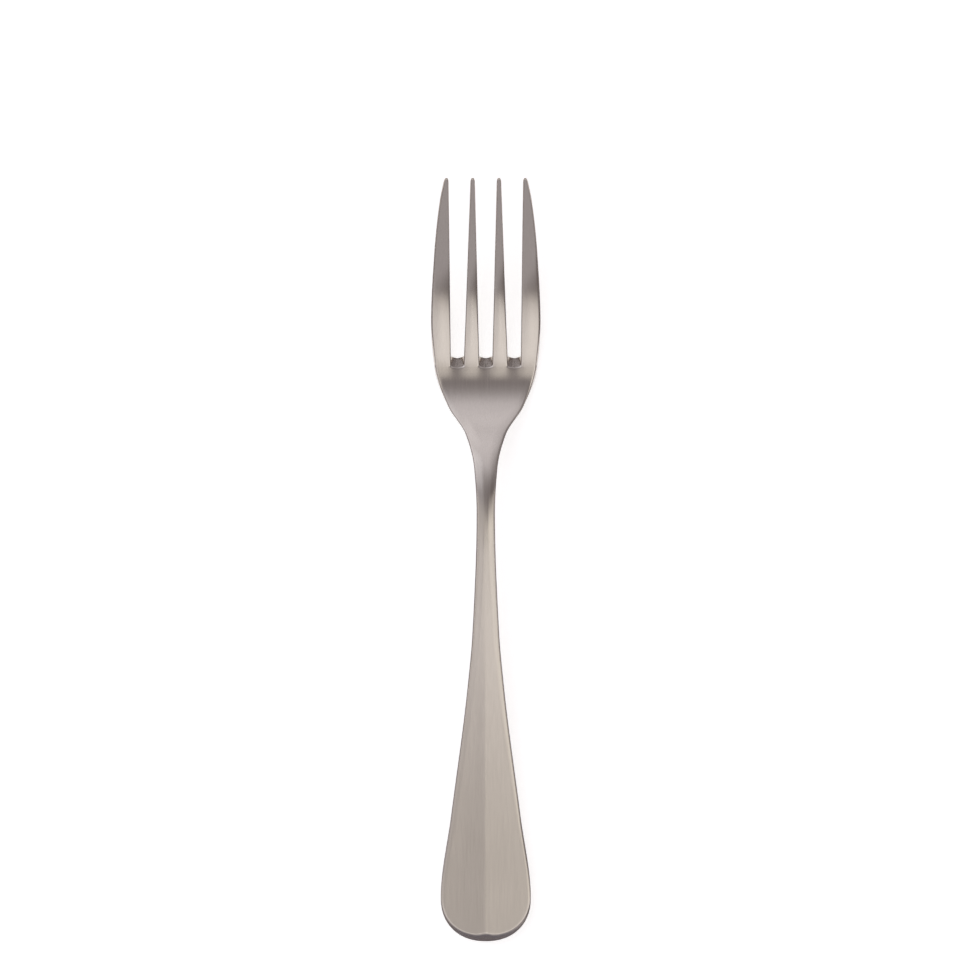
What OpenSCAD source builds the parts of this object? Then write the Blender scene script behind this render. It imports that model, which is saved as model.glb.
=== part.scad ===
// Dessert fork: one stamped and forged blank of stainless steel, drawn as the
// regions a cutler names. Four tines grow out of the head, the head runs into
// the neck, and the neck into the handle. They meet face to face.
// +Y runs to the tips, +X to the right and +Z up. The table is at Z = 0, and
// the origin is on it, under the middle of the fork. Stations along the fork
// are measured from the tips, and widths are seen from above.

/* [Lengths] */
// Whole fork, from the tips to the end of the handle
length = 182; // [165:1:200]
// Tips to the floor of the slots, on the upper face
tine_l = 45.3; // [42:0.1:49]
// Slot floor to the start of the neck
head_l = 23.7; // [21:0.1:28]
// Neck, from the head to the handle
neck_l = 29; // [22:0.5:36]
// Rounded end of the handle
end_l = 10.4; // [7:0.1:14]

/* [Tines and slots] */
// Width over the tips of the outer tines
tip_spread = 19.8; // [18.6:0.1:21.5]
// Station of the bow near the tips
bow_at = 5.5; // [4:0.5:8]
// Width over the tines at the bow
bow_w = 22; // [21:0.1:23]
// Station on the long side of the outer tines
side_at = 18; // [14:0.5:22]
// Width over the tines at that station
side_w = 24.6; // [23.6:0.1:25.6]
// Slot width at the tips
mouth_w = 5.2; // [4.4:0.1:5.4]
// Slot width at the root
slot_w = 3.1; // [2.4:0.1:3.8]
// Spacing of the slots at the tips
tip_pitch = 6.25; // [6:0.05:6.5]
// Spacing of the slots at the root
root_pitch = 6.8; // [6.2:0.1:7.4]
// Depth of the curve at the end of a slot, on the upper face
slot_end = 0.4; // [0.3:0.1:1.4]
// Depth of that curve on the underside
slot_under_end = 1.3; // [0.3:0.1:1.8]
// How far the slot floor leans out towards the tips, from top to underside
slot_lean = 2.5; // [0.5:0.1:4]
// Length over which a tip is rounded
tip_round = 1.2; // [0.4:0.1:1.5]
// Crown across a tine
tine_crown = 0.14; // [0.05:0.01:0.25]
// Length over which that crown grows from the slot floor
crown_run = 12; // [6:0.5:20]

/* [Head and neck] */
// Widest place of the head, counted back from the slot floor
widest_before_root = 11.3; // [8:0.1:15]
// Greatest width of the head
head_w = 26.1; // [25:0.1:28]
// Width of the head at the slot floor
root_w = 24.3; // [23:0.1:25]
// Start of the steep flare, counted on from the slot floor
flare_after_root = 9; // [7:0.1:11]
// Width where the steep flare starts
flare_w = 18; // [15.5:0.1:20]
// Throat where the flare eases, counted on from the slot floor
throat_after_root = 15.7; // [13:0.1:18]
// Width of the throat
throat_w = 9.6; // [8:0.1:11]
// Width where the head meets the neck
collar_w = 5.56; // [5:0.02:6.4]
// Slimmest place, counted on from the start of the neck
waist_after_neck = 11; // [7:0.5:16]
// Width of the slimmest place
waist_w = 4.36; // [3.8:0.02:4.9]

/* [Handle] */
// Station on the slim part of the handle, counted back from its end
slim_before_end = 74; // [68:0.5:80]
// Width there
slim_w = 6.32; // [5.4:0.02:7.4]
// Station where the handle starts to swell, counted back from its end
taper_before_end = 60; // [52:0.5:66]
// Width there
taper_w = 8.84; // [7:0.02:11]
// Station on the swell, counted back from the end
swell_before_end = 30; // [24:0.5:36]
// Width there
swell_w = 16.56; // [14.5:0.02:18.5]
// Greatest width of the handle
handle_w = 21.5; // [19.5:0.1:24]
// Fullness of the rounded end, 2 is an ellipse
end_fullness = 2.2; // [2:0.05:3]
// Flat left at the very end
end_flat = 1.2; // [0.6:0.1:3]
// Slope of the two facets at the centre ridge, in degrees
ridge_angle = 4.5; // [2:0.1:7]
// Start of the ridge, counted back from the crest of the fork
ridge_before_crest = 5; // [0:0.5:8]
// Length over which the ridge rises
ridge_run = 14; // [10:1:45]
// Half width over which the ridge is softened on the neck
neck_ridge_soft = 2; // [1:0.1:3]
// Half width over which the ridge is softened where the handle swells
ridge_soft = 0.5; // [0.2:0.05:1]
// Half width over which the ridge is softened at the end of the handle
end_ridge_soft = 0.7; // [0.2:0.05:1]
// Slope of the bevel along all upper edges, in degrees
bevel_angle = 38; // [25:1:42]
// Width of the bevel at the very end of the handle
bevel_w = 1.4; // [0.8:0.1:2]
// Length over which the start of that bevel is softened
bevel_soft = 0.08; // [0.04:0.01:0.3]
// How late the bevel widens on its way round the end
bevel_power = 1.5; // [1:0.1:3]
// How much further the bevel reaches up the ridge
cusp_l = 0.45; // [0.2:0.05:1.2]
// Half width of that reach
cusp_w = 1.5; // [0.8:0.1:2.5]

/* [Side profile] */
// Slope of the tines at the tips, in degrees
tip_angle = 31; // [22:0.5:38]
// Slope of the tines at mid length, in degrees
tine_angle = 14.5; // [11:0.5:18]
// Station of that slope
tine_angle_at = 27; // [22:0.5:32]
// Slope where the bowl starts to bend, in degrees
bend_angle = 4.8; // [3:0.1:7]
// Station of that slope, counted on from the slot floor
bend_after_root = 0.7; // [0.2:0.1:1.6]
// Bottom of the bowl, counted on from the slot floor
valley_after_root = 3.2; // [2:0.1:6]
// Steepest slope of the stem, in degrees
stem_angle = 30; // [24:0.5:36]
// Station of that slope, counted on from the slot floor
stem_after_root = 14.7; // [12:0.1:17]
// Crest of the fork, counted on from the start of the neck
crest_after_neck = 7.3; // [3:0.1:9]
// Slope where the brow behind the crest ends, in degrees
brow_angle = 5.6; // [4:0.1:7]
// Station of that slope, counted back from the steepest slope of the handle
brow_before_fall = 9; // [6:0.5:12]
// Steepest slope of the handle, in degrees
handle_angle = 5.7; // [4:0.1:7.5]
// Station of that slope, counted on from the start of the handle
fall_after_handle = 2; // [0:0.5:10]
// Slope at the end of the handle, in degrees
end_angle = 1.6; // [0.5:0.1:3]

/* [Thickness] */
// Steel at the tips
tip_t = 1.3; // [1:0.05:1.7]
// Steel at the slot floor
head_t = 2; // [1.6:0.05:2.6]
// Steel at the crest of the neck
neck_t = 3.8; // [3.2:0.1:4.6]
// Steel at the start of the swell
handle_t = 2.4; // [2:0.1:3]
// Steel at the end of the handle
end_t = 2.9; // [2.7:0.1:3.4]

/* [Edges] */
// Width of the rounding along the outer tines
tine_edge_w = 0.5; // [0.2:0.05:0.8]
// Depth of the rounding along the outer tines
tine_edge_h = 0.05; // [0.02:0.01:0.2]
// Width of the rounding along the head
head_edge_w = 0.8; // [0.3:0.05:1.4]
// Depth of the rounding along the head
head_edge_h = 0.08; // [0.05:0.01:0.4]
// Width of the rounding along the stem
stem_edge_w = 3; // [1.5:0.1:4]
// Depth of the rounding along the stem
stem_edge_h = 0.2; // [0.05:0.01:0.6]
// Width of the rounding along the neck
neck_edge_w = 2.1; // [1.2:0.05:2.4]
// Depth of the rounding along the neck
neck_edge_h = 0.45; // [0.2:0.05:0.9]
// Width of the rounding along the handle
handle_edge_w = 1.8; // [1:0.1:2.6]
// Depth of the rounding along the handle
handle_edge_h = 0.2; // [0.1:0.05:0.5]
// Width of the rounding at the end of the handle
end_edge_w = 1.2; // [0.6:0.1:2]
// Depth of the rounding at the end of the handle
end_edge_h = 0.05; // [0.02:0.01:0.2]
// Width of the bevel along the outline
rim_w = 0.35; // [0.15:0.05:0.6]
// Width of the bevel along the slots
slot_rim_w = 0.2; // [0.1:0.05:0.4]
// Length over which the start of these bevels is softened
rim_soft = 0.08; // [0.04:0.01:0.2]
// Width and depth of the rounding all along the underside
under_edge = 0.4; // [0.2:0.05:0.45]

/* [Hidden] */
steel = "#cbc3bc";

// Places across a region and across its underside, as shares of its width
across = [0, 0.04, 0.12, 0.3, 0.5, 0.7, 0.88, 0.96, 1];
across_under = [0, 0.04, 0.12, 0.88, 0.96, 1];
// Spacing of the cross-sections
tine_step = 1.5;
head_step = 1;
neck_step = 1.5;
handle_step = 2.5;
end_steps = 14;
slot_end_steps = 8;
tip_steps = 5;
// Length over which the cross-sections stand up again on both sides of a slot floor
lean_run = 12;
// Share of its width and thickness that a tip keeps at its very end
tip_blunt = 0.35;
// Power of the fall from the ridge to the edge, which leaves the facets hollow
facet_power = 1.6;

root_at = tine_l;
neck_at = root_at + head_l;
handle_at = neck_at + neck_l;
end_at = length - end_l;
valley_at = root_at + valley_after_root;
stem_at = root_at + stem_after_root;
crest_at = neck_at + crest_after_neck;
fall_at = handle_at + fall_after_handle;
taper_at = length - taper_before_end;
heel_at = length - under_edge;

// Steps from a to b of about the given size, both ends included
function stations(a, b, step) =
    let (n = ceil((b - a)/step))
    [for (i = [0:n]) a + (b - a)*i/n];
function total(v) = [for (x = v) 1]*v;
function ease(x) =
    let (t = min(1, max(0, x)))
    t*t*(3 - 2*t);

// A smooth curve through knots [station, value]. Its slope at a knot is level at
// a peak or a dip, and else a mean of the chords beside it, so it never overshoots.
function chord(k, i) = (k[i + 1].y - k[i].y)/(k[i + 1].x - k[i].x);
function knot_slope(k, i) =
    i == 0 ? chord(k, 0) :
    i == len(k) - 1 ? chord(k, i - 1) :
    let (a = chord(k, i - 1), b = chord(k, i))
    a*b <= 0 ? 0 :
    let (before = k[i].x - k[i - 1].x, after = k[i + 1].x - k[i].x)
    3*(before + after)/((2*after + before)/a + (after + 2*before)/b);
function smooth(k) = [for (i = [0:len(k) - 1]) [k[i].x, k[i].y, knot_slope(k, i)]];
function span(k, s) = max([0, for (i = [1:len(k) - 2]) if (k[i].x <= s) i]);
function curve(k, s) =
    let (i = span(k, s), h = k[i + 1].x - k[i].x, t = (s - k[i].x)/h)
    k[i].y*(1 + 2*t)*(1 - t)^2 + k[i + 1].y*t^2*(3 - 2*t)
    + h*t*(1 - t)*(k[i].z*(1 - t) - k[i + 1].z*t);

// Area under such a curve, from its first knot to a station
function piece_area(k, i, t) =
    let (h = k[i + 1].x - k[i].x)
    h*(k[i].y*(t - t^3 + t^4/2) + k[i + 1].y*(t^3 - t^4/2)
       + h*k[i].z*(t^2/2 - 2*t^3/3 + t^4/4) + h*k[i + 1].z*(t^4/4 - t^3/3));
function area_to(k, s) =
    let (i = span(k, s))
    total([for (j = [0:i]) piece_area(k, j, j < i ? 1 : (s - k[j].x)/(k[j + 1].x - k[j].x))]);

// Outline, slope of the upper face, thickness and edges along the fork
outline = smooth([
    [0, tip_spread/2], [bow_at, bow_w/2], [side_at, side_w/2],
    [root_at - widest_before_root, head_w/2], [root_at, root_w/2],
    [root_at + flare_after_root, flare_w/2], [root_at + throat_after_root, throat_w/2],
    [neck_at, collar_w/2], [neck_at + waist_after_neck, waist_w/2],
    [length - slim_before_end, slim_w/2], [taper_at, taper_w/2],
    [length - swell_before_end, swell_w/2],
    [end_at, handle_w/2], [length, 0]]);
slope = smooth([
    [0, -tan(tip_angle)], [tine_angle_at, -tan(tine_angle)],
    [root_at + bend_after_root, -tan(bend_angle)], [valley_at, 0],
    [stem_at, tan(stem_angle)], [crest_at, 0], [fall_at - brow_before_fall, -tan(brow_angle)],
    [fall_at, -tan(handle_angle)], [length, -tan(end_angle)]]);
thickness = smooth([
    [0, tip_t], [root_at, head_t], [crest_at, neck_t], [taper_at, handle_t], [length, end_t]]);
edge_w = smooth([
    [0, tine_edge_w], [root_at, head_edge_w], [stem_at, stem_edge_w], [crest_at, neck_edge_w],
    [taper_at, handle_edge_w], [length, end_edge_w]]);
edge_h = smooth([
    [0, tine_edge_h], [root_at, head_edge_h], [stem_at, stem_edge_h], [crest_at, neck_edge_h],
    [taper_at, handle_edge_h], [length, end_edge_h]]);
softness = smooth([
    [0, neck_ridge_soft], [handle_at, neck_ridge_soft], [taper_at, ridge_soft],
    [length, end_ridge_soft]]);

function half_w(s) =
    s <= end_at ? curve(outline, s) :
    max(end_flat/2, handle_w/2*(1 - ((s - end_at)/end_l)^end_fullness)^(1/end_fullness));
// Thickness measured straight down, more than the steel's own where it slopes
function depth(s) = curve(thickness, s)*sqrt(1 + curve(slope, s)^2);

// The side profile is set down so that the bowl and the heel both touch the table
function underside(s) = area_to(slope, s) - depth(s);
bowl_low = min([for (s = stations(root_at, stem_at, head_step)) underside(s)]);
heel_low = underside(heel_at);
function face(s) =
    area_to(slope, s) - bowl_low - (heel_low - bowl_low)*(s - valley_at)/(heel_at - valley_at);

// Fall of an edge eased over w, h deep, at distance d from the outline
function edge_fall(d, w, h) = h*(1 - min(1, max(0, d/w)))^2;

// Fall of a bevel, w wide, at distance d from the outline, with a soft start
function bevel_fall(d, w, soft) =
    let (past = w - d)
    tan(bevel_angle)*(past + sqrt(past^2 + soft^2))/2;

// Soft ridge down the middle of the handle
function ridge(x, s) =
    let (half = s <= end_at ? half_w(s) : handle_w/2,
         soft = curve(softness, s),
         off = sqrt(x^2 + soft^2) - soft,
         grown = ease((s - crest_at + ridge_before_crest)/ridge_run))
    grown*tan(ridge_angle)/facet_power*half*max(0, 1 - off/half)^facet_power;

// How near the outline of the rounded end is, 1 on it, and how far round it lies
function end_reach(x, s) =
    let (a = abs(x)/(handle_w/2), b = max(0, s - end_at)/end_l,
         e = (a^end_fullness + b^end_fullness)^(1/end_fullness))
    [min(1, e), e > 0 ? (b/e)^2 : 0];
function outer_gap(x, s, half) =
    s <= end_at ? half - abs(x) : (1 - end_reach(x, s)[0])*handle_w/2;

// Fall of the edges along the outline: a bevel that is wide round the end and
// reaches up the ridge
function outer_fall(x, s, half) =
    let (gap = outer_gap(x, s, half),
         turn = end_reach(x, s)[1],
         wide = turn^bevel_power,
         width = rim_w + wide*(bevel_w - rim_w + cusp_l*exp(-(x/cusp_w)^2)))
    (1 - turn)*edge_fall(max(gap, width), curve(edge_w, s), curve(edge_h, s))
    + bevel_fall(gap, width, rim_soft + wide*(bevel_soft - rim_soft));
function outer_rise(x, s, half) = edge_fall(outer_gap(x, s, half), under_edge, under_edge);

// Slots: where a slot's middle runs, and its half width at a station
function slot_middle(i, s) = (i - 1)*(tip_pitch + (root_pitch - tip_pitch)*s/root_at);
function slot_half(s) =
    let (t = (s - root_at + slot_end)/slot_end)
    (mouth_w + (slot_w - mouth_w)*s/root_at)/2*(t <= 0 ? 1 : sqrt(max(0, 1 - t^2)));

// Cross-sections lean with the slot floors: they start at a station on the upper
// face and end further towards the tips on the underside
function lean(s) =
    let (rounder = (slot_under_end - slot_end)*min(1, max(0, (root_at - s)/slot_end)))
    (slot_lean + rounder)*ease(1 - max(0, root_at - slot_end - s, s - root_at)/lean_run);
function under_station(s) = max(0, s - lean(s));
function under_face(s) = face(under_station(s)) - depth(under_station(s));
function leaned(x, z, s, drop) = [x, length/2 - s + lean(s)*(face(s) - z)/drop, z];

// Places across the whole fork: the four regions of the tines side by side
root_share = [-1, -root_pitch/half_w(root_at), 0, root_pitch/half_w(root_at), 1];
function across_all(list) =
    [for (i = [0:3], v = list) if (i == 0 || v > 0) root_share[i] + (root_share[i + 1] - root_share[i])*v];
function reversed(list) = [for (i = [len(list) - 1:-1:0]) list[i]];

// Cross-section of the handle, the neck or the head
function blank_ring(s) =
    let (half = half_w(s), z = face(s), under_s = under_station(s), under_half = half_w(under_s),
         low = under_face(s), drop = z - low)
    [for (u = across_all(across))
         leaned(u*half, z + ridge(u*half, s) - outer_fall(u*half, s, half), s, drop),
     for (u = reversed(across_all(across_under)))
         leaned(u*under_half, low + outer_rise(u*under_half, under_s, under_half), s, drop)];

// Cross-section of tine i. Its two sides are the outline or the wall of a slot.
function tine_ring(i, s) =
    let (near_tip = tip_blunt + (1 - tip_blunt)*sqrt(1 - (1 - min(1, s/tip_round))^2),
         thinned = depth(s)*(1 - near_tip)/2,
         crown = tine_crown*ease((root_at - s)/crown_run),
         left = i == 0 ? -half_w(s) : slot_middle(i - 1, s) + slot_half(s),
         right = i == 3 ? half_w(s) : slot_middle(i, s) - slot_half(s),
         under_left = i == 0 ? -half_w(under_station(s)) : left,
         under_right = i == 3 ? half_w(under_station(s)) : right,
         middle = (left + right)/2,
         tine_w = near_tip*(right - left),
         z = face(s) - thinned,
         low = under_face(s) + thinned,
         freed = ease((root_at - s)/slot_end),
         // An edge takes up at most half of the tine's width, and beside a slot
         // it starts where the slot does
         eased = function (d, w, h)
             let (fit = min(1, tine_w/2/w))
             fit*edge_fall(d, w*fit, h),
         side_fall = function (d, outer) near_tip*(
             outer ? eased(max(d, rim_w), curve(edge_w, s), curve(edge_h, s))
                     + bevel_fall(d, rim_w, rim_soft) :
             freed*bevel_fall(d, slot_rim_w, rim_soft)),
         side_rise = function (d, outer)
             near_tip*(outer ? 1 : freed)*eased(d, under_edge, under_edge))
    [for (v = across)
         leaned(middle + near_tip*(left + (right - left)*v - middle),
                z - crown*(2*v - 1)^2 - side_fall(tine_w*v, i == 0) - side_fall(tine_w*(1 - v), i == 3),
                s, z - low),
     for (v = reversed(across_under))
         leaned(middle + near_tip*(under_left + (under_right - under_left)*v - middle),
                low + side_rise(tine_w*v, i == 0) + side_rise(tine_w*(1 - v), i == 3), s, z - low)];

// A closed skin over cross-sections that all have the same number of points,
// with each end closed by a fan from its middle
module loft(rings) {
    n = len(rings[0]);
    last = (len(rings) - 1)*n;
    first_middle = last + n;
    last_middle = first_middle + 1;
    skin = [for (i = [0:len(rings) - 2], j = [0:n - 1])
        let (a = i*n + j, b = i*n + (j + 1)%n)
        each [[a, b, b + n], [a, b + n, a + n]]];
    ends = [for (j = [0:n - 1])
        let (next = (j + 1)%n)
        each [[first_middle, next, j], [last_middle, last + j, last + next]]];
    polyhedron([for (r = rings) each r, total(rings[0])/n, total(rings[len(rings) - 1])/n],
               concat(skin, ends));
}

module handle() {
    sides = stations(handle_at, end_at, handle_step);
    tail = [for (i = [1:end_steps]) end_at + end_l*sin(90*i/end_steps)];
    color(steel) loft([for (s = concat(sides, tail)) blank_ring(s)]);
}

module neck() {
    color(steel) loft([for (s = stations(neck_at, handle_at, neck_step)) blank_ring(s)]);
}

module head() {
    color(steel) loft([for (s = stations(root_at, neck_at, head_step)) blank_ring(s)]);
}

module tine(i) {
    point = [for (k = [0:tip_steps]) tip_round*(1 - cos(90*k/tip_steps))];
    shank = stations(tip_round, root_at - slot_end, tine_step);
    floor_curve = [for (k = [1:slot_end_steps]) root_at - slot_end*(1 - sin(90*k/slot_end_steps))];
    all = concat(point, [for (k = [1:len(shank) - 1]) shank[k]], floor_curve);
    color(steel) loft([for (s = all) tine_ring(i, s)]);
}

module tine_left_outer() { tine(0); }
module tine_left_inner() { tine(1); }
module tine_right_inner() { tine(2); }
module tine_right_outer() { tine(3); }

handle();
neck();
head();
tine_left_outer();
tine_left_inner();
tine_right_inner();
tine_right_outer();
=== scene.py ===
import math

import bpy
import numpy as np
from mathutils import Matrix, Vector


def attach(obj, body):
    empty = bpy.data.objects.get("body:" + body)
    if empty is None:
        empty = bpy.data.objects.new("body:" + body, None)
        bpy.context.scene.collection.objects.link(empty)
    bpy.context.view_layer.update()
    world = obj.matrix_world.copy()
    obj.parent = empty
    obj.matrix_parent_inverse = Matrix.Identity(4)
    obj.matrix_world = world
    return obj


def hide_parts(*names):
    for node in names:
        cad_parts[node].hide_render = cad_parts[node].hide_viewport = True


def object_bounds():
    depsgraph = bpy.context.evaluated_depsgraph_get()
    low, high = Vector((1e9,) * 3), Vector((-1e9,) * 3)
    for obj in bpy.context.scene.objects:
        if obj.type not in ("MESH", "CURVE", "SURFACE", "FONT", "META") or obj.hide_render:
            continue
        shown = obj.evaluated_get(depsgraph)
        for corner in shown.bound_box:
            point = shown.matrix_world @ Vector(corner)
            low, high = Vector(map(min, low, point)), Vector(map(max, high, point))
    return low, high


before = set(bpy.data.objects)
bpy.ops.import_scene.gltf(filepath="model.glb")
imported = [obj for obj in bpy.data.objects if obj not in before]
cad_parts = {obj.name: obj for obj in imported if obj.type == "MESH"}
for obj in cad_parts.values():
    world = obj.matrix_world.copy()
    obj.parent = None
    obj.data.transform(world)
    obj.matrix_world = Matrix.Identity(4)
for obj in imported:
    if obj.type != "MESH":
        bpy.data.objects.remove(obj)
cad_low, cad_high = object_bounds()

scene = bpy.context.scene
scene.view_settings.view_transform = "Standard"


# The view: the fork lies on a table and is seen from straight above, tips up,
# through a long lens, so that its bent shape is hardly foreshortened.
mm = 0.001
view_w = 233.7 * mm
view_x = 1.0 * mm
view_y = 16.7 * mm
view_level = 6 * mm
view_reach = 20
lens_length = 800
sensor_w = 36

camera_data = bpy.data.cameras.new("camera")
camera_data.lens = lens_length
camera_data.sensor_width = sensor_w
camera_data.clip_end = view_reach
camera = bpy.data.objects.new("camera", camera_data)
camera.location = (view_x, view_y, view_level + view_w * lens_length / sensor_w)
scene.collection.objects.link(camera)
scene.camera = camera


# The blank: one strip of stainless steel, rolled thick and thin, punched to the
# outline of the fork and pressed to its bent side profile. Stations run from the
# tips to the end of the handle, widths are seen from above, and sizes are in mm.
length = (cad_high.y - cad_low.y) / mm
tine_l = 45.3
head_l = 23.7
neck_l = 29
end_l = 10.4
root_at = tine_l
neck_at = root_at + head_l
handle_at = neck_at + neck_l
end_at = length - end_l


def smooth(knots):
    """Knots (station, value) of a curve that is level at a peak or a dip and never overshoots."""
    x, y = np.array(knots, float).T
    run = np.diff(x)
    chord = np.diff(y) / run
    slope = np.concatenate([chord[:1], np.zeros(len(x) - 2), chord[-1:]])
    for i in range(1, len(x) - 1):
        a, b = chord[i - 1], chord[i]
        if a * b > 0:
            before, after = run[i - 1], run[i]
            slope[i] = 3 * (before + after) / ((2 * after + before) / a + (after + 2 * before) / b)
    return x, y, slope


def span(x, s):
    """Which stretch between two knots a station lies in."""
    return np.clip(np.searchsorted(x, s, side="right") - 1, 0, len(x) - 2)


def curve(knots, s):
    """Value of a curve at a station."""
    x, y, slope = knots
    i = span(x, s)
    run = x[i + 1] - x[i]
    t = (s - x[i]) / run
    return (y[i] * (1 + 2 * t) * (1 - t) ** 2 + y[i + 1] * t**2 * (3 - 2 * t)
            + run * t * (1 - t) * (slope[i] * (1 - t) - slope[i + 1] * t))


tip_spread = 19.8
bow_at = 5.5
bow_w = 22
side_at = 18
side_w = 24.6
widest_at = root_at - 11.3
head_w = 26.1
root_w = 24.3
flare_at = root_at + 9
flare_w = 18
throat_at = root_at + 15.7
throat_w = 9.6
collar_w = 5.56
waist_at = neck_at + 11
waist_w = 4.36
slim_at = length - 74
slim_w = 6.32
taper_at = length - 60
taper_w = 8.84
swell_at = length - 30
swell_w = 16.56
handle_w = 21.5
end_fullness = 2.2
end_flat = 1.2
outline_w = smooth([
    (0, tip_spread), (bow_at, bow_w), (side_at, side_w), (widest_at, head_w), (root_at, root_w),
    (flare_at, flare_w), (throat_at, throat_w), (neck_at, collar_w), (waist_at, waist_w),
    (slim_at, slim_w), (taper_at, taper_w), (swell_at, swell_w), (end_at, handle_w), (length, 0)])


def half_w(s):
    """Half the width of the blank, with the rounded end of the handle."""
    share = np.clip((s - end_at) / end_l, 0, 1)
    rounded = handle_w / 2 * (1 - share**end_fullness) ** (1 / end_fullness)
    return np.where(s <= end_at, curve(outline_w, s) / 2, np.maximum(end_flat / 2, rounded))


def incline(degrees):
    """Rise over run of an angle."""
    return math.tan(math.radians(degrees))


def area_to(knots, s):
    """Area under a curve from its first knot to a station."""
    x, y, slope = knots
    i = span(x, s)
    run = np.diff(x)
    whole = run * (y[:-1] + y[1:]) / 2 + run**2 * (slope[:-1] - slope[1:]) / 12
    before = np.concatenate([[0], np.cumsum(whole)])
    t = (s - x[i]) / run[i]
    return before[i] + run[i] * (
        y[i] * (t - t**3 + t**4 / 2) + y[i + 1] * (t**3 - t**4 / 2)
        + run[i] * slope[i] * (t**2 / 2 - 2 * t**3 / 3 + t**4 / 4)
        + run[i] * slope[i + 1] * (t**4 / 4 - t**3 / 3))


tip_angle = 31
tine_angle_at = 27
tine_angle = 14.5
bend_at = root_at + 0.7
bend_angle = 4.8
valley_at = root_at + 3.2
stem_at = root_at + 14.7
stem_angle = 30
crest_at = neck_at + 7.3
fall_at = handle_at + 2
brow_at = fall_at - 9
brow_angle = 5.6
handle_angle = 5.7
end_angle = 1.6
face_slope = smooth([
    (0, -incline(tip_angle)), (tine_angle_at, -incline(tine_angle)), (bend_at, -incline(bend_angle)),
    (valley_at, 0), (stem_at, incline(stem_angle)), (crest_at, 0), (brow_at, -incline(brow_angle)),
    (fall_at, -incline(handle_angle)), (length, -incline(end_angle))])

tip_t = 1.3
head_t = 2
neck_t = 3.8
handle_t = 2.4
end_t = 2.9
thickness = smooth([
    (0, tip_t), (root_at, head_t), (crest_at, neck_t), (taper_at, handle_t), (length, end_t)])


def depth(s):
    """Thickness measured straight down."""
    return curve(thickness, s) * np.sqrt(1 + curve(face_slope, s) ** 2)


def underside(s):
    """Height of the underside before the fork is set down."""
    return area_to(face_slope, s) - depth(s)


under_edge = 0.4
heel_at = length - under_edge
heel_low = underside(heel_at)
bowl_steps = 15
bowl_low = underside(np.linspace(root_at, stem_at, bowl_steps + 1)).min()


def face(s):
    """Height of the upper face over the table, with the bowl and the heel set down on it."""
    tilt = (heel_low - bowl_low) / (heel_at - valley_at)
    return area_to(face_slope, s) - bowl_low - tilt * (s - valley_at)


# The slots: three slots are punched through the broad end of the blank. Their floors
# slant down towards the tips and are rounder underneath. The bevel along their sides
# runs out to a faint lip at each floor, and polishing leaves a shallow dip behind it.
slot_n = 3
mouth_w = 5.2
slot_w = 3.1
tip_pitch = 6.25
root_pitch = 6.8
slot_end = 0.4
slot_under_end = 1.3
slot_lean = 2.5
lean_run = 12
bevel_angle = 38
slot_rim_w = 0.2
rim_soft = 0.08
floor_lip = 0.3
dip_depth = 0.135
dip_w = 1.75
dip_l = 3.3
dip_run = 5
tiny = 1e-9


def slot_middle(i, s):
    """Where the middle of slot i lies across the fork."""
    return (i - (slot_n - 1) / 2) * (tip_pitch + (root_pitch - tip_pitch) * s / root_at)


def slot_side(s):
    """Half the width of a slot along its straight walls."""
    return (mouth_w + (slot_w - mouth_w) * s / root_at) / 2


def slot_gap(i, x, s):
    """Distance on the upper face from the edge of slot i."""
    beside = np.abs(x - slot_middle(i, s))
    beyond = np.maximum(0, s - root_at + slot_end)
    reach = np.hypot(beside / slot_side(s), beyond / slot_end)
    return np.hypot(beside, beyond) * (1 - 1 / np.maximum(reach, tiny))


def bevel_fall(gap, w, soft):
    """Fall of a bevel of one slope, which starts softly at a distance from an edge."""
    past = w - gap
    return incline(bevel_angle) * (past + np.hypot(past, soft)) / 2


def ease(x):
    """A soft step from 0 to 1."""
    t = np.clip(x, 0, 1)
    return t * t * (3 - 2 * t)


def slot_fall(x, s):
    """Fall of the bevels along the slots, with the lip at their floors and the dip behind each."""
    lip = floor_lip + (1 - floor_lip) * ease((root_at - s) / slot_end)
    bevel = sum(bevel_fall(slot_gap(i, x, s), slot_rim_w, rim_soft) for i in range(slot_n))
    before = ease((s - root_at + dip_run) / dip_run)
    behind = np.clip(1 - np.maximum(0, s - root_at) / dip_l, 0, 1) ** 2
    dip = sum(np.exp(-(((x - slot_middle(i, s)) / dip_w) ** 2)) for i in range(slot_n))
    return lip * bevel + dip_depth * before * behind * dip


def lean(s):
    """How far a cross-section leans towards the tips, with the floors of the slots."""
    away = np.maximum(0, np.maximum(root_at - slot_end - s, s - root_at))
    rounder = (slot_under_end - slot_end) * np.clip((root_at - s) / slot_end, 0, 1)
    return (slot_lean + rounder) * ease(1 - away / lean_run)


def under_station(s):
    """Station on the underside that a cross-section leans to."""
    return np.maximum(0, s - lean(s))


def under_face(s):
    """Height of the underside where a cross-section leans to."""
    return face(under_station(s)) - depth(under_station(s))


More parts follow.
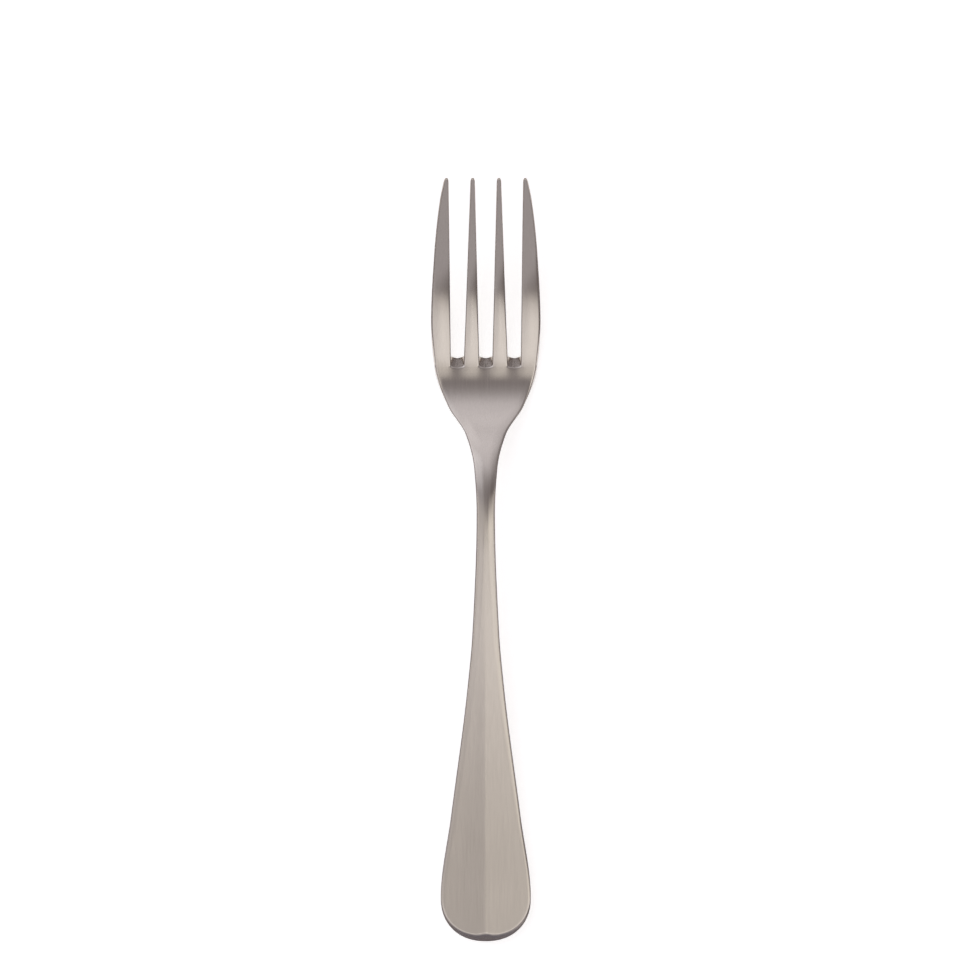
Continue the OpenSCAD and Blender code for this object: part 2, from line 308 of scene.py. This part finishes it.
# The edges: the blank is ground all round. A narrow bevel follows the outline and widens
# round the end of the handle, where it reaches up the ridge. Inside it the face is
# rounded off, most of all on the neck, and the underside has a small round.
rim_w = 0.35
bevel_w = 1.4
bevel_soft = 0.08
bevel_power = 1.5
cusp_w = 1.5
cusp_l = 0.45
tine_edge_w = 0.5
tine_edge_h = 0.05
head_edge_w = 0.8
head_edge_h = 0.08
stem_edge_w = 3
stem_edge_h = 0.2
neck_edge_w = 2.1
neck_edge_h = 0.45
handle_edge_w = 1.8
handle_edge_h = 0.2
end_edge_w = 1.2
end_edge_h = 0.05
edge_w = smooth([
    (0, tine_edge_w), (root_at, head_edge_w), (stem_at, stem_edge_w),
    (crest_at, neck_edge_w), (taper_at, handle_edge_w), (length, end_edge_w)])
edge_h = smooth([
    (0, tine_edge_h), (root_at, head_edge_h), (stem_at, stem_edge_h),
    (crest_at, neck_edge_h), (taper_at, handle_edge_h), (length, end_edge_h)])


def edge_fall(gap, w, h):
    """Fall of an edge that is rounded over a width and a height, at a distance from it."""
    return h * (1 - np.clip(gap / w, 0, 1)) ** 2


def end_reach(x, s):
    """How near the outline of the rounded end is, 1 on it, and how far round it lies."""
    a = np.abs(x) / (handle_w / 2)
    b = np.maximum(0, s - end_at) / end_l
    reach = (a**end_fullness + b**end_fullness) ** (1 / end_fullness)
    return np.minimum(1, reach), (b / np.maximum(reach, tiny)) ** 2


def outer_gap(x, s):
    """Distance from the outline of the blank."""
    return np.where(s <= end_at, half_w(s) - np.abs(x), (1 - end_reach(x, s)[0]) * handle_w / 2)


def outer_fall(x, s):
    """Fall of the upper edges along the outline."""
    gap = outer_gap(x, s)
    turn = end_reach(x, s)[1]
    wide = turn**bevel_power
    width = rim_w + wide * (bevel_w - rim_w + cusp_l * np.exp(-((x / cusp_w) ** 2)))
    soft = rim_soft + wide * (bevel_soft - rim_soft)
    rounded = edge_fall(np.maximum(gap, width), curve(edge_w, s), curve(edge_h, s))
    return (1 - turn) * rounded + bevel_fall(gap, width, soft)


def outer_rise(x, s):
    """Rise of the lower edges along the outline."""
    return edge_fall(outer_gap(x, s), under_edge, under_edge)


# Satin stainless steel: ground lengthwise on a fine belt. The grinding lines lie
# along the fork, so a reflection stays sharp along it and is smeared out across
# it, with faint streaks and broader stains. The lines themselves are about 0.03 mm
# wide, too fine to show, and are drawn as streaks 0.3 mm wide.
steel_light = "#cdc5be"
steel_dark = "#c8c0b9"
steel_roughness = (0.155, 0.17)
steel_anisotropy = 0.85
streak_w = 0.3
streak_l = 30
streak_depth = 0.0006
stain_w = 3
stain_l = 14
stain_share = 0.3
tint_span = (0.35, 0.65)
gloss_span = (0.3, 0.7)


def linear(hex_colour):
    """A colour written as sRGB hex, as linear RGBA."""
    parts = [int(hex_colour[i:i + 2], 16) / 255 for i in (1, 3, 5)]
    return [p / 12.92 if p <= 0.04045 else ((p + 0.055) / 1.055) ** 2.4 for p in parts] + [1]


def add_node(tree, kind, links=(), inputs=(), **settings):
    """A node with its settings, the values of its sockets and the sockets it is fed from."""
    made = tree.nodes.new(kind)
    for name, value in settings.items():
        setattr(made, name, value)
    for socket, value in inputs:
        made.inputs[socket].default_value = value
    for socket, source in links:
        tree.links.new(source, made.inputs[socket])
    return made


satin_steel = bpy.data.materials.new("satin_stainless_steel")
satin_steel.use_nodes = True
tree = satin_steel.node_tree
shader = tree.nodes["Principled BSDF"]
place = add_node(tree, "ShaderNodeTexCoord").outputs["Object"]
along = add_node(tree, "ShaderNodeMapping", [("Vector", place)],
                 [("Scale", (1 / (streak_w * mm), 1 / (streak_l * mm), 1 / (streak_w * mm)))])
streaks = add_node(tree, "ShaderNodeTexNoise", [("Vector", along.outputs[0])],
                   [("Scale", 1), ("Detail", 3), ("Roughness", 0.6)])
broad = add_node(tree, "ShaderNodeMapping", [("Vector", place)],
                 [("Scale", (1 / (stain_w * mm), 1 / (stain_l * mm), 1 / (stain_w * mm)))])
stains = add_node(tree, "ShaderNodeTexNoise", [("Vector", broad.outputs[0])],
                  [("Scale", 1), ("Detail", 2), ("Roughness", 0.5)])
both = add_node(tree, "ShaderNodeMix",
                [("A", streaks.outputs["Fac"]), ("B", stains.outputs["Fac"])],
                [("Factor", stain_share)])
tint = add_node(tree, "ShaderNodeValToRGB", [("Fac", both.outputs["Result"])])
for stop, position, colour in zip(tint.color_ramp.elements, tint_span, (steel_dark, steel_light)):
    stop.position = position
    stop.color = linear(colour)
gloss = add_node(tree, "ShaderNodeMapRange", [("Value", streaks.outputs["Fac"])],
                 [("From Min", gloss_span[0]), ("From Max", gloss_span[1]),
                  ("To Min", steel_roughness[0]), ("To Max", steel_roughness[1])])
lines = add_node(tree, "ShaderNodeBump", [("Height", streaks.outputs["Fac"])],
                 [("Strength", 1), ("Distance", streak_depth * mm)])
across = add_node(tree, "ShaderNodeTangent", direction_type="UV_MAP", uv_map="grain")
shader.inputs["Metallic"].default_value = 1
shader.inputs["Anisotropic"].default_value = steel_anisotropy
for socket, source in (("Base Color", tint.outputs["Color"]), ("Roughness", gloss.outputs["Result"]),
                       ("Normal", lines.outputs["Normal"]), ("Tangent", across.outputs["Tangent"])):
    tree.links.new(source, shader.inputs[socket])


# The handle: the blank widened to a flat paddle with a rounded end, and struck with a
# soft ridge down the middle of the upper face, with hollow flanks. The ridge rises on
# the neck and is sharpest where the handle starts to swell.
ridge_angle = 4.5
ridge_start = crest_at - 5
ridge_run = 14
flank_power = 1.6
neck_ridge_soft = 2
swell_ridge_soft = 0.5
end_ridge_soft = 0.7
ridge_soft = smooth([
    (0, neck_ridge_soft), (handle_at, neck_ridge_soft),
    (taper_at, swell_ridge_soft), (length, end_ridge_soft)])
top_steps = 24
under_steps = 12
wall_steps = 4
handle_step = 0.8
tail_steps = 48


def ridge(x, s):
    """Rise of the ridge over the face."""
    half = np.where(s <= end_at, half_w(s), handle_w / 2)
    soft = curve(ridge_soft, s)
    off = np.hypot(x, soft) - soft
    grown = ease((s - ridge_start) / ridge_run)
    height = incline(ridge_angle) / flank_power * half
    return grown * height * np.maximum(0, 1 - off / half) ** flank_power


def steps(start, stop, size):
    """Stations from start to stop, at most a size apart."""
    return np.linspace(start, stop, math.ceil((stop - start) / size) + 1)


def to_edges(n):
    """Shares of a width in n steps that close up towards its edges."""
    return (1 - np.cos(np.linspace(0, math.pi, n + 1))) / 2


top_places = to_edges(top_steps)
under_places = to_edges(under_steps)
wall_places = np.linspace(0, 1, wall_steps + 1)[1:-1]


def spread(bounds, shares):
    """Places across regions that lie side by side, from their bounds at each station."""
    rows = [bounds[:, :1]]
    for i in range(bounds.shape[1] - 1):
        rows.append(bounds[:, i:i + 1] + (bounds[:, i + 1:i + 2] - bounds[:, i:i + 1]) * shares[1:])
    return np.hstack(rows)


def rings(s, top_x, top_z, low_x, low_z, drop):
    """Closed cross-sections, over the top from left to right and back underneath."""
    def leaned(x, z):
        return np.stack([x, length / 2 - s + lean(s) * (face(s) - z) / drop, z], axis=2)
    top = leaned(top_x, top_z)
    low = leaned(low_x, low_z)
    right = top[:, -1:] + (low[:, -1:] - top[:, -1:]) * wall_places[:, None]
    left = low[:, :1] + (top[:, :1] - low[:, :1]) * wall_places[:, None]
    return np.concatenate([top, right, low[:, ::-1], left], axis=1)


def blank_rings(stations):
    """Cross-sections of the whole blank, in four strips that line up with the tines."""
    s = stations[:, None]
    half = half_w(s)
    under_half = half_w(under_station(s))
    split = root_pitch * half / (root_w / 2)
    middle = np.zeros_like(s)
    top_x = spread(np.hstack([-half, -split, middle, split, half]), top_places)
    low_x = spread(np.hstack([-under_half, -split, middle, split, under_half]), under_places)
    top_z = face(s) + ridge(top_x, s) - outer_fall(top_x, s) - slot_fall(top_x, s)
    low_z = under_face(s) + outer_rise(low_x, under_station(s))
    return rings(s, top_x, top_z, low_x, low_z, face(s) - under_face(s))


blank_top_n = (slot_n + 1) * top_steps + 1
pieces = []


def steel_piece(name, points, top_n):
    """A closed piece over cross-sections, with its grain running along the fork."""
    n, m = points.shape[:2]
    index = np.arange(n * m).reshape(n, m)
    after = np.roll(index, -1, axis=1)
    skin = np.stack([index[:-1], index[1:], after[1:], after[:-1]], axis=2).reshape(-1, 4)
    ends = [index[0].tolist(), index[-1, ::-1].tolist()]
    mesh = bpy.data.meshes.new("steel_" + name)
    mesh.from_pydata(points.reshape(-1, 3) * mm, [], skin.tolist() + ends)
    row, column = np.divmod(skin, m)
    turned = (column == 0) & (np.arange(len(skin))[:, None] % m == m - 1)
    round_share = (column + turned * m) / m
    skin_uv = np.stack([round_share, row / (n - 1)], axis=2).reshape(-1, 2)
    end_uv = 0.5 + points[[0, -1]].reshape(-1, 3)[:, ::2] / length
    grain = mesh.uv_layers.new(name="grain")
    grain.data.foreach_set("uv", np.concatenate([skin_uv, end_uv]).ravel())
    mesh.materials.append(satin_steel)
    piece = bpy.data.objects.new("steel_" + name, mesh)
    scene.collection.objects.link(piece)
    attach(piece, "root")
    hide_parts(name)
    upper = np.tile(np.arange(m) < top_n - 1, n - 1)
    pieces.append((piece, points.reshape(-1, 3), skin, upper))


handle_sides = steps(handle_at, end_at, handle_step)
handle_tail = end_at + end_l * np.sin(np.linspace(0, math.pi / 2, tail_steps + 1)[1:])
steel_piece("handle", blank_rings(np.concatenate([handle_sides, handle_tail])), blank_top_n)


# The neck: the blank drawn together to its thickest and slimmest, with well rounded
# upper edges, over the crest of the fork and down to the start of the handle.
neck_step = 0.5
steel_piece("neck", blank_rings(steps(neck_at, handle_at, neck_step)), blank_top_n)


# The head: the blank spread flat and pressed into a shallow bowl behind the tines,
# with shoulders that sweep in to the neck. Its mesh is finest behind the slots.
head_step = 0.3
floor_run = 1.2
floor_steps = 16
floor_power = 1.6
head_floor = root_at + floor_run * np.linspace(0, 1, floor_steps + 1) ** floor_power
head_back = steps(head_floor[-1], neck_at, head_step)
steel_piece("head", blank_rings(np.concatenate([head_floor[:-1], head_back])), blank_top_n)


# The tines: what the slots leave of the blank, four tines, ground to a taper with
# a slight crown across them, rounded along their edges and blunted at their tips.
tip_round = 1.2
tip_blunt = 0.35
tine_crown = 0.14
crown_run = 12
tine_step = 0.4
tip_steps = 12
foot_steps = 24


def tine_rings(i, stations):
    """Cross-sections of tine i, counted from the left."""
    s = stations[:, None]
    near_tip = tip_blunt + (1 - tip_blunt) * np.sqrt(1 - (1 - np.minimum(1, s / tip_round)) ** 2)
    thinned = depth(s) * (1 - near_tip) / 2
    rounded = np.clip((s - root_at + slot_end) / slot_end, 0, 1)
    slot_half = slot_side(s) * np.sqrt(1 - rounded**2)
    left = -half_w(s) if i == 0 else slot_middle(i - 1, s) + slot_half
    right = half_w(s) if i == slot_n else slot_middle(i, s) - slot_half
    under_left = -half_w(under_station(s)) if i == 0 else left
    under_right = half_w(under_station(s)) if i == slot_n else right
    middle = (left + right) / 2
    z = face(s) - thinned
    low = under_face(s) + thinned
    top_x = spread(np.hstack([left, right]), top_places)
    low_x = spread(np.hstack([under_left, under_right]), under_places)
    crown = tine_crown * ease((root_at - s) / crown_run) * (2 * top_places - 1) ** 2
    freed = ease((root_at - s) / slot_end)
    slot_rise = sum(edge_fall(slot_gap(k, low_x, s), under_edge, under_edge) for k in range(slot_n))
    top_z = z - crown - near_tip * (outer_fall(top_x, s) + slot_fall(top_x, s))
    low_z = low + near_tip * (outer_rise(low_x, under_station(s)) + freed * slot_rise)
    return rings(s, middle + near_tip * (top_x - middle), top_z,
                 middle + near_tip * (low_x - middle), low_z, z - low)


tine_point = tip_round * (1 - np.cos(np.linspace(0, math.pi / 2, tip_steps + 1)))
tine_shank = steps(tip_round, root_at - slot_end, tine_step)
tine_foot = root_at - slot_end * (1 - np.sin(np.linspace(0, math.pi / 2, foot_steps + 1)))
tine_stations = np.concatenate([tine_point[:-1], tine_shank[:-1], tine_foot])
for i, name in enumerate(["tine_left_outer", "tine_left_inner", "tine_right_inner", "tine_right_outer"]):
    steel_piece(name, tine_rings(i, tine_stations), top_steps + 1)


# The skin: the fork is one piece of steel, so where its regions meet they share
# the direction of the surface and no seam shows. Its upper face ends in a crisp edge.
weld_digits = 5

all_points = np.concatenate([points for piece, points, skin, upper in pieces])
starts = np.cumsum([0] + [len(points) for piece, points, skin, upper in pieces])
all_skin = np.concatenate([skin + start for (piece, points, skin, upper), start in zip(pieces, starts)])
all_upper = np.concatenate([upper for piece, points, skin, upper in pieces])
corner = all_points[all_skin]
facing = np.cross(corner[:, 2] - corner[:, 0], corner[:, 3] - corner[:, 1])
place_of = np.unique(np.round(all_points, weld_digits), axis=0, return_inverse=True)[1].ravel()
shared = 2 * place_of[all_skin] + all_upper[:, None]
summed = np.zeros((shared.max() + 1, 3))
for corner_place in shared.T:
    np.add.at(summed, corner_place, facing)
normal = (summed / np.maximum(np.linalg.norm(summed, axis=1, keepdims=True), tiny))[shared]
done = 0
for piece, points, skin, upper in pieces:
    mesh = piece.data
    mesh.shade_smooth()
    ends = [np.tile(end.normal, (end.loop_total, 1)) for end in mesh.polygons[len(skin):]]
    skin_normal = normal[done:done + len(skin)].reshape(-1, 3)
    mesh.normals_split_custom_set(np.concatenate([skin_normal] + ends).tolist())
    done += len(skin)


# The table: a plain sheet of matt white paper, lit as the fork is, which glows a little
# to the eye and in the steel so that it stays white and still takes the fork's shadow.
table_white = "#f4f4f4"
table_glow = 0.58
table_half = 4
table_gap = 0.05 * mm

table_paper = bpy.data.materials.new("white_paper")
table_paper.use_nodes = True
tree = table_paper.node_tree
tree.nodes.clear()
ray = add_node(tree, "ShaderNodeLightPath").outputs
direct = add_node(tree, "ShaderNodeMath", [(0, ray["Is Camera Ray"]), (1, ray["Is Glossy Ray"])],
                  operation="MAXIMUM")
seen = add_node(tree, "ShaderNodeMath", [(0, direct.outputs[0]), (1, ray["Is Transmission Ray"])],
                operation="MAXIMUM")
glow = add_node(tree, "ShaderNodeMath", [(0, seen.outputs[0])], [(1, table_glow)], operation="MULTIPLY")
white = add_node(tree, "ShaderNodeEmission", [("Strength", glow.outputs[0])])
matt = add_node(tree, "ShaderNodeBsdfDiffuse", inputs=[("Color", linear(table_white))])
paper = add_node(tree, "ShaderNodeAddShader", [(0, white.outputs[0]), (1, matt.outputs[0])])
add_node(tree, "ShaderNodeOutputMaterial", [("Surface", paper.outputs[0])])

table_z = cad_low.z - table_gap
table_corners = [(-table_half, -table_half), (table_half, -table_half),
                 (table_half, table_half), (-table_half, table_half)]
table_mesh = bpy.data.meshes.new("table")
table_mesh.from_pydata([(x, y, table_z) for x, y in table_corners], [], [(0, 1, 2, 3)])
table_mesh.materials.append(table_paper)
table = bpy.data.objects.new("table", table_mesh)
scene.collection.objects.link(table)


# The studio: a dim room with soft boxes hung level over the table, a little above one
# another, so that their light adds up, and fading at both ends along the fork. Warm ones
# light the handle side, and cooler ones the left and the tips, with a dark gap overhead.
# A faint blue window lies far beyond the handle, where the bevel round its end shows it.
room_level = 0.21
room_tint = (1, 0.89, 0.905, 1)
box_height = 1.9
box_step = 0.01
warm_light = (1, 0.995, 0.92)
plain_light = (0.93, 0.945, 1)
cool_light = (0.87, 0.92, 1)
sky_light = (0.1, 0.4, 1)
cloth_dark = (0, 0, 0, 1)
cloth_bright = (1, 1, 1, 1)

world = bpy.data.worlds.new("studio")
scene.world = world
world.use_nodes = True
background = world.node_tree.nodes["Background"]
background.inputs["Color"].default_value = room_tint
background.inputs["Strength"].default_value = room_level

# Each box, in metres: its left and right, where along the fork it starts, is full, begins
# to fade and ends, its level, its light, and its turn in degrees.
soft_boxes = [
    ("handle_left", (-5.9, 0.1), (-0.97, -0.91, -0.16, 0.05), 0.3, warm_light, 0),
    ("handle_right", (-0.05, 5.6), (-0.9, -0.7, -0.16, 0.07), 0.46, warm_light, 3),
    ("handle_middle", (-1.4, 5.9), (-0.98, -0.73, -0.5, -0.3), 0.43, plain_light, 0),
    ("neck_right", (0.44, 1.95), (-0.5, -0.27, -0.12, 0.08), 0.47, warm_light, 2),
    ("neck_left", (-2, -0.45), (-0.62, -0.43, -0.3, -0.1), 0.14, plain_light, 0),
    ("left", (-5.9, 0.45), (-1.45, 0.55, 2.85, 3.4), 0.23, plain_light, 15),
    ("centre", (-5.9, 0.9), (-0.55, 3.2, 3.3, 3.4), 0.68, plain_light, 10.5),
    ("right", (0, 5.9), (-0.5, 0.75, 3.3, 3.4), 0.15, plain_light, -15),
    ("far_left", (-5.9, -0.3), (-0.3, 0.7, 1.55, 2.6), 0.35, cool_light, -3),
    ("far_handle", (-5.9, 5.3), (-4.8, -4.7, -1.32, -0.85), 0.31, plain_light, -14),
    ("window", (-5.9, 5.9), (-14, -12, -5.8, -5), 0.06, sky_light, 0),
]
for i, (name, (left, right), (first, full, fading, last), level, light, turn) in enumerate(soft_boxes):
    data = bpy.data.lights.new(name, "AREA")
    data.shape = "RECTANGLE"
    data.size = right - left
    data.size_y = last - first
    data.energy = level * math.pi * data.size * data.size_y
    data.color = light
    data.use_nodes = True
    tree = data.node_tree
    cloth = add_node(tree, "ShaderNodeNewGeometry").outputs["Parametric"]
    share = add_node(tree, "ShaderNodeSeparateXYZ", [(0, cloth)]).outputs["Y"]
    fade = add_node(tree, "ShaderNodeValToRGB", [("Fac", share)])
    fade.color_ramp.interpolation = "EASE"
    fade.color_ramp.elements[1].color = cloth_dark
    for stop in (full, fading):
        fade.color_ramp.elements.new((stop - first) / (last - first)).color = cloth_bright
    tree.links.new(fade.outputs["Color"], tree.nodes["Emission"].inputs["Strength"])
    box = bpy.data.objects.new(name, data)
    box.location = ((left + right) / 2, (first + last) / 2, box_height + i * box_step)
    box.rotation_euler.z = math.radians(turn)
    box.visible_camera = False
    scene.collection.objects.link(box)
